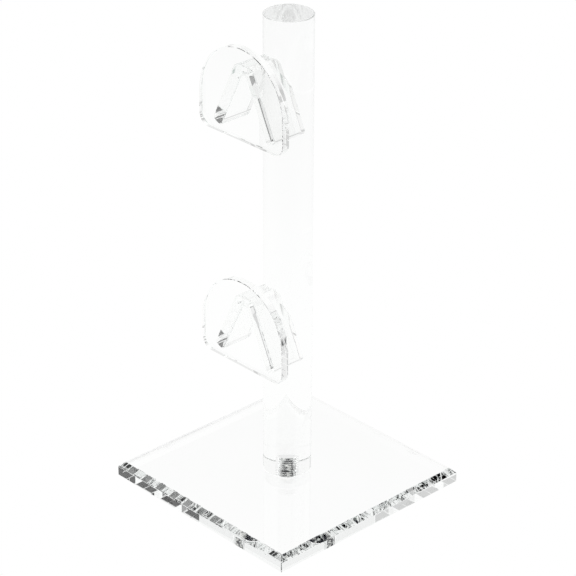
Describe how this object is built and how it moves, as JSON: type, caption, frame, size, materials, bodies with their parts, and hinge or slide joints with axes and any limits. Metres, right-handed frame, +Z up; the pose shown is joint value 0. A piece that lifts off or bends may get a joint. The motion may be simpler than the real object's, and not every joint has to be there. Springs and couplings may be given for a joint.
{
  "type": "eyeglasses display stand",
  "caption": "Clear acrylic countertop stand with a round post on a bevelled square base; each D-shaped front plate and folded V saddle behind it holds a pair of glasses by the bridge.",
  "frame": {"origin": "centre of the base's underside, on the surface the stand rests on", "axes": "+Z up along the post; -Y is the front, where the front plates face; +X is to the right when looking along +Y at the front"},
  "size_m": [0.1, 0.1, 0.2064],
  "materials": {
    "clear_acrylic_base": "gloss",
    "clear_acrylic_rod": "gloss",
    "clear_acrylic_plate": "gloss",
    "clear_acrylic_strip": "gloss",
    "screw_steel": "satin"
  },
  "bodies": {
    "root": {"base_plate": "clear_acrylic_base", "post": "clear_acrylic_rod", "post_screw": "screw_steel", "upper_front_plate": "clear_acrylic_plate", "upper_saddle": "clear_acrylic_strip", "lower_front_plate": "clear_acrylic_plate", "lower_saddle": "clear_acrylic_strip"}
  },
  "joints": []
}
